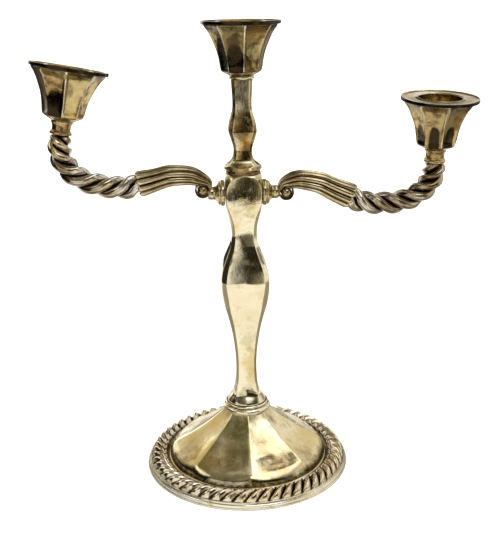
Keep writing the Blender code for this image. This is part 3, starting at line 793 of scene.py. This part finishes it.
def rope(side, hand, points, ways, place):
    """The twisted arm: fat strands from inside the horn's end to the ferrule, tighter at the top."""
    angles = all_round(STRANDS * 30)
    lobes = lobed(angles, STRANDS, 0.80)
    reach = STRAND_VALLEY + (STRAND_CREST - STRAND_VALLEY) * lobes
    start, way = points[0], ways[0]
    backs = [ROPE_INSIDE * share for share in (1.0, 0.75, 0.5, 0.25)]
    lead_in = [(start[0] - way[0] * back, start[1] - way[1] * back) for back in backs]
    rings = []

    def add(point, along, size, forward=0.0):
        rings.append(section_ring(point, along, size * np.cos(angles + twist),
                                  size * np.sin(angles + twist), hand, forward))

    travelled = -ROPE_INSIDE
    twist = math.tau * ROPE_INSIDE / ROPE_LEADS[0][1]
    previous = lead_in[0]
    for point, along in zip(lead_in + list(points), [way] * len(lead_in) + list(ways)):
        step = math.dist(point, previous)
        travelled += step
        twist -= math.tau * step / look_up(travelled, ROPE_LEADS)
        previous = point
        size = reach * look_up(travelled, ROPE_SWELL)
        add(point, along,
            size * (1.0 - ROPE_NIP * max(0.0, 1.0 - math.dist(point, points[-1]) / ROPE_NIP_REACH)))
    for shrink, forward in ROPE_END:
        add(points[-1], ways[-1], shrink * reach, forward)
    # painted shade and tarnish in the valleys between the strands
    grid_piece(f"rope_{side}", f"arm_rope_{side}", "stand", rings, FINISHES["rope"],
               place=place, tarnish=[between_lobes(lobes, 0.58) * 0.95] * len(rings))


def ball(side, hand, place):
    """The round boss in the eye of the scroll, domed at front and back."""
    half = [(BALL_RADIUS * 0.93, 0.0), (BALL_RADIUS * 0.97, 1.6)]
    half += [(BALL_RADIUS * math.cos(a), BALL_HALF_LENGTH - BALL_RADIUS + BALL_RADIUS * math.sin(a))
             for a in np.radians([0, 12, 24, 36, 48, 60, 70, 78, 85, 89])]
    outline = [(radius, -height) for radius, height in half[:0:-1]] + half
    out, up = BALL_PLACES[side]
    turn = Matrix.Translation((hand * out, 0.0, up)) @ Matrix.Rotation(math.pi / 2, 4, "X")
    grid_piece(f"scroll_ball_{side}", f"arm_scroll_ball_{side}", "stand",
               round_rings(outline, 64), FINISHES["arm"], place=place @ turn)


def arm(side, hand):
    turn = Matrix.Translation((0.0, 0.0, ARM_HEIGHT)) @ Matrix.Rotation(hand * math.pi / 2, 4, "Y")
    boss = rounded([(2.4, 9.9), (6.6, 9.9), (7.0, 10.4), (7.05, 11.3), (6.95, 12.0), (6.3, 12.4),
                    (6.5, 12.7), (6.3, 13.3), (5.4, 13.9), (4.4, 14.4), (3.7, 15.1), (3.4, 16.0),
                    (3.6, 17.2), (3.2, 18.8), (2.4, 18.8)], 0.3)
    turned(f"boss_{side}", f"arm_boss_{side}", "stand", boss, FINISHES["arm"],
           columns=96, place=turn)

    place = (Matrix.Translation((hand * ARM_ROOT, 0.0, ARM_HEIGHT))
             @ Matrix.Rotation(math.radians(ARM_TILTS[side]), 4, "Y"))
    rows = scroll_and_horn(side)
    points = smooth([(out, up) for out, up, _, _ in rows] + ROPE_LINES[side], LINE_STEPS)
    ways = directions(points)
    sizes = smooth([row[2:] for row in rows], LINE_STEPS)
    joint = LINE_STEPS * (len(rows) - 1)
    horn(side, hand, points[:joint + 1], ways[:joint + 1], sizes, place)
    rope(side, hand, points[joint:], ways[joint:], place)
    ball(side, hand, place)

    end_out, end_up = points[-1]
    lean_right, lean_forward = CUP_LEANS[side]
    lean = Euler((math.radians(lean_forward), math.radians(lean_right), 0.0)).to_matrix().to_4x4()
    end = place @ Matrix.Translation((hand * end_out, 0.0, end_up + FERRULE_LIFT)) @ lean
    ferrule = rounded([(2.5, 0.0), (5.3, 0.0), (5.75, 0.45), (5.75, 1.3), (5.3, 1.8), (4.9, 2.1),
                       (4.8, 2.8), (4.8, 3.8), (4.9, 4.8), (5.15, 5.5), (5.5, 6.2), (5.7, 6.7),
                       (5.7, FERRULE_LENGTH), (2.5, FERRULE_LENGTH)], 0.25)
    turned(f"ferrule_{side}", f"arm_ferrule_{side}", "stand", ferrule,
           FINISHES["ferrule"], columns=96, place=end)
    return end @ Matrix.Translation((0.0, 0.0, FERRULE_LENGTH + CUP_SEAT))


# -- Lights --

def cup(side, place):
    """An eight-sided flared cup: a fine raised line on each ridge, painted dark reflections shaped as
    arches on its panels, and painted shade and tarnish under its rim.
    """
    angles = all_round(320)
    around = angles + math.radians(CUP_TURNS[side])
    shape = octagon(angles, CUP_SHARPNESS)
    step = math.tau / PANELS
    from_ridge = np.abs((angles + step / 2) % step - step / 2)
    from_middle = np.abs(angles % step - step / 2)
    panel = np.floor(angles / step).astype(int)
    worn = 0.75 + 0.25 * np.cos(3.0 * panel)          # how strongly the painted shade and tarnish under the rim show, from panel to panel
    reflection_width, reflection_rise, darkness = CUP_REFLECTION_ARCHES[side]
    reflection_strength = np.array((BACK_REFLECTION,) * FIRST_REFLECTION_PANEL + darkness)[panel]
    rings = []
    tarnish = []

    def add(radii, height, dark):
        rings.append(on_angles(radii, around, height))
        tarnish.append(dark)

    add(BORE, CUP_UNDERSIDE[0][1], 0.0)
    for radius, height in CUP_UNDERSIDE:
        add(radius * shape, height, 0.0)
    for radius, height in smooth(CUP_EDGE, 8):
        fade = look_up(height, CUP_FADE)
        ridge = CUP_RIDGE * fade * np.exp(-(from_ridge * radius / CUP_RIDGE_WIDTH) ** 2)
        dip = CUP_DIP * fade * panel_middles(angles)
        # painted dark reflection: an arch rising from the foot of each panel
        reflection_arch = 1.0 - (from_middle * radius / reflection_width) ** 3
        reflection_arch = reflection_arch - max(0.0, (height - REFLECTION_FOOT) / reflection_rise) ** 2.5
        # the darker of the painted reflection arch and the painted shade and tarnish under the rim
        dark = np.maximum(np.clip(reflection_arch * 1.6, 0.0, reflection_strength), look_up(height, RIM_SHADE_AND_TARNISH) * worn)
        add(radius * shape + ridge - dip, height, dark)
    for radius, height in smooth(CUP_HOLLOW, 3):
        add(radius * 0.985, height, CUP_INSIDE_TARNISH)
    add(BORE, CUP_HOLLOW[-1][1], CUP_INSIDE_TARNISH)
    grid_piece(f"flared_cup_{side}", f"cup_{side}", f"{side}_cup", rings, FINISHES["cup"],
               closed=True, place=place, tarnish=tarnish)


def nozzle(side, place):
    """The drip rim with a beaded edge, a slightly dished top and the tapered socket under it."""
    outline = rounded([(8.1, 4.6), (8.8, 8.2), (10.6, 14.1), (12.1, 18.8), (12.1, 24.0), (13.0, 24.0),
                       (19.6, 23.95), (20.2, 24.0), (20.3, 24.2), (20.3, 25.55), (20.1, 25.7),
                       (19.7, 25.6), (19.3, 25.3), (17.0, 25.2), (13.2, 25.3), (12.5, 25.5),
                       (12.1, 25.7), (11.7, 25.65), (11.4, 25.3), (11.4, 18.9), (9.9, 14.1),
                       (8.1, 8.4), (7.4, 5.3)], 0.3)
    outline = spread(outline, 1.2)
    lip = RIM_LIPS[side]
    dark_edge = [(lip, 0.0), (lip + RIM_DARKENING, 1.0)]
    turned(f"drip_rim_{side}", f"nozzle_{side}", f"{side}_nozzle", outline, FINISHES["rim"],
           columns=160, place=place, tarnish=[look_up(radius, dark_edge) for radius, _ in outline])


# -- Inner pieces --

def inner_finishes():
    """Finishes for the pieces that stay as the CAD model has them."""
    steel = plain("steel", colour(0.52, 0.52, 0.53), colour(0.38, 0.36, 0.33), 900.0, 0.38, 1.0, 0.2)
    felt = plain("felt", colour(0.045, 0.11, 0.055), colour(0.02, 0.06, 0.03), 2600.0, 0.95, 0.0, 0.9)
    plaster = plain("plaster", colour(0.78, 0.75, 0.68), colour(0.66, 0.62, 0.54), 400.0, 0.9, 0.0, 0.5)
    finishes = {"foot_felt": felt, "foot_weight": plaster, "foot_base_plate": steel, "tie_rod": steel,
                "arm_stud": steel, "cup_screw": steel}
    for name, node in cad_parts.items():
        for start, finish in finishes.items():
            if name.startswith(start):
                node.data.materials[0] = finish


# -- Stage --

def floor_disc(name, radius, height, finish):
    angles = np.radians(np.arange(0.0, 360.0, 3.0))
    points = [(radius * math.cos(a), radius * math.sin(a), height) for a in angles]
    mesh = bpy.data.meshes.new(name)
    mesh.from_pydata(points, [], [tuple(range(len(points)))])
    mesh.materials.append(finish)
    disc = placed(name, mesh)
    return disc


# Soft light round the object: azimuth, elevation, half width, half height and edge in degrees,
# brightness, tint
ROOM = [
    (0.0, 90.0, 400.0, 52.0, 12.0, 0.28, (1.0, 0.94, 0.74)),  # ceiling
    (0.0, 90.0, 400.0, 16.0, 8.0, 0.60, (1.0, 0.95, 0.82)),   # ceiling light overhead
    (-172.0, 61.0, 50.0, 8.0, 5.0, 0.20, (1.0, 0.93, 0.55)),  # dark beam on the left
    (8.0, 66.0, 60.0, 15.0, 10.0, 1.7, (0.97, 0.98, 1.0)),    # skylight on the right
    (-70.0, 54.0, 24.0, 9.0, 8.0, 2.6, (0.97, 0.98, 1.0)),    # lamp above the front
    (0.0, 16.0, 30.0, 28.0, 8.0, 0.92, (1.0, 0.97, 0.88)),    # bright wall on the right
    (46.0, 24.0, 16.0, 20.0, 6.0, 0.88, (1.0, 0.96, 0.84)),   # wall behind on the right
    (180.0, 41.0, 24.0, 9.0, 5.0, 1.6, (0.98, 0.97, 1.0)),    # window on the left
    (-117.0, 9.0, 27.0, 21.0, 3.0, 0.95, (1.0, 0.97, 0.86)),  # pale wall on the front left
    (-55.0, -4.0, 28.0, 16.0, 3.0, 0.34, (1.0, 0.94, 0.64)),  # olive curtain on the front right
    (130.0, 30.0, 24.0, 18.0, 8.0, 0.74, (1.0, 0.91, 0.66)),  # behind on the left
    (-47.0, -10.0, 7.0, 14.0, 4.0, 1.30, (1.0, 0.95, 0.72)),  # lit fold of the curtain
    (50.0, -8.0, 14.0, 12.0, 4.0, 0.42, (1.0, 0.94, 0.90)),   # low wall behind on the right
    (130.0, -8.0, 16.0, 12.0, 4.0, 0.16, (1.0, 0.88, 0.76)),  # low wall behind on the left
    (84.0, 11.5, 24.0, 7.0, 2.0, 0.95, (1.0, 0.97, 0.88)),    # pale screen behind
    (118.0, 9.0, 14.0, 13.0, 4.0, 1.9, (1.0, 1.0, 1.0)),      # window behind on the left
]
DARK_ROOM = (0.030, 0.026, 0.017)
WHITE = colour(1.0, 1.0, 1.0)
FLOOR_RADIUS = 12.0           # metres
CLOTH_RADIUS = 0.52           # pale cloth round the object that its metal reflects
CLOTH_SHADE = colour(0.10, 0.085, 0.05)
SUN_SIZE = 70.0               # degrees across
SUN_TILT = (18.0, 14.0)       # degrees about X and Y
SUN_POWER = 3.3
GAMMA = 0.96
EXPOSURE = 0.10


def room():
    world = bpy.data.worlds.new("room")
    bpy.context.scene.world = world
    tree = Tree(world)
    background = tree.nodes["Background"]
    way = tree.add("ShaderNodeTexCoord").outputs["Generated"]
    parts = tree.add("ShaderNodeSeparateXYZ", {0: way}).outputs
    azimuth = tree.maths("DEGREES", tree.maths("ARCTAN2", parts[1], parts[0]))
    elevation = tree.maths("DEGREES", tree.maths("ARCSINE", parts[2]))
    light = colour(*DARK_ROOM)
    for at, up, half_width, half_height, edge, brightness, tint in ROOM:
        away = tree.maths("WRAP", tree.maths("SUBTRACT", azimuth, at), 180.0)
        away.node.inputs[2].default_value = -180.0
        across = tree.ramp(tree.maths("ABSOLUTE", away), half_width - edge, half_width + edge, 1.0, 0.0)
        rise = tree.maths("ABSOLUTE", tree.maths("SUBTRACT", elevation, up))
        upward = tree.ramp(rise, half_height - edge, half_height + edge, 1.0, 0.0)
        lit = colour(*(brightness * part for part in tint))
        light = tree.mix(tree.product(across, upward), light, lit)
    seen = tree.add("ShaderNodeLightPath").outputs["Is Camera Ray"]
    tree.put(tree.mix(seen, light, WHITE), background.inputs["Color"])


def shade_cloth(cloth):
    """Shade lies on the cloth beside and behind the object, and in front of it at both sides."""
    tree = Tree(cloth)
    shader = tree.nodes["Principled BSDF"]
    lit = shader.inputs["Base Color"].links[0].from_socket
    place = tree.add("ShaderNodeTexCoord").outputs["Object"]
    x, y, _ = tree.add("ShaderNodeSeparateXYZ", {0: place}).outputs
    behind = tree.product(tree.ramp(y, -0.07, 0.0), tree.ramp(x, -0.17, -0.11),
                          tree.ramp(y, 0.09, 0.13, 1.0, 0.0))
    aside = tree.ramp(tree.maths("ABSOLUTE", x), 0.055, 0.08)
    in_front = tree.product(aside, tree.ramp(y, -0.15, -0.10), tree.ramp(y, 0.0, 0.05, 1.0, 0.0))
    shade = tree.product(tree.maths("MAXIMUM", behind, in_front), 0.8)
    tree.put(tree.mix(shade, lit, CLOTH_SHADE), shader.inputs["Base Color"])


def stage():
    """A white floor, and just over it a cloth that only shows in the metal's reflections."""
    white = plain("pale_floor", colour(0.90, 0.90, 0.90), colour(0.92, 0.92, 0.92), 30.0, 0.9, 0.0, 0.05)
    cloth = plain("floor_cloth", colour(0.68, 0.67, 0.64), colour(0.60, 0.58, 0.53), 12.0, 0.9, 0.0, 0.05)
    shade_cloth(cloth)
    floor = floor_disc("floor", FLOOR_RADIUS, 0.0, white)
    floor.visible_glossy = False
    reflected = floor_disc("reflected_floor", CLOTH_RADIUS, 0.0001, cloth)
    for use in ("camera", "diffuse", "shadow"):
        setattr(reflected, f"visible_{use}", False)
    data = bpy.data.lights.new("soft_daylight", "SUN")
    data.angle = math.radians(SUN_SIZE)
    data.energy = SUN_POWER
    sun = placed("soft_daylight", data)
    sun.rotation_euler = (math.radians(SUN_TILT[0]), math.radians(SUN_TILT[1]), 0.0)
    sun.visible_glossy = False


def camera():
    data = bpy.data.cameras.new("camera")
    data.sensor_width = 36.0
    data.lens = CAMERA_LENS
    ahead = Vector((0.0, math.cos(CAMERA_DOWN), -math.sin(CAMERA_DOWN)))
    right = Vector((1.0, 0.0, 0.0))
    up = right.cross(ahead)
    rolled_right = math.cos(CAMERA_ROLL) * right + math.sin(CAMERA_ROLL) * up
    rolled_up = math.cos(CAMERA_ROLL) * up - math.sin(CAMERA_ROLL) * right
    turn = Matrix.Rotation(math.radians(CAMERA_ROUND), 3, "Z")
    pose = Matrix((turn @ rolled_right, turn @ rolled_up, -(turn @ ahead))).transposed().to_4x4()
    pose.translation = turn @ Vector(CAMERA_PLACE) * MM
    made = placed("camera", data)
    made.matrix_world = pose
    bpy.context.scene.camera = made


# -- The whole model --

def build():
    camera()
    room()
    stage()
    view = bpy.context.scene.view_settings
    view.view_transform = "Standard"
    view.gamma = GAMMA
    view.exposure = EXPOSURE
    foot()
    border()
    band()
    column()
    places = {side: arm(side, 1 if side == "right" else -1) for side in SIDES}
    places["centre"] = Matrix.Translation((0.0, 0.0, CENTRE_CUP_HEIGHT))
    for side in LIGHTS:
        cup(side, places[side])
        nozzle(side, places[side])
    inner_finishes()


build()
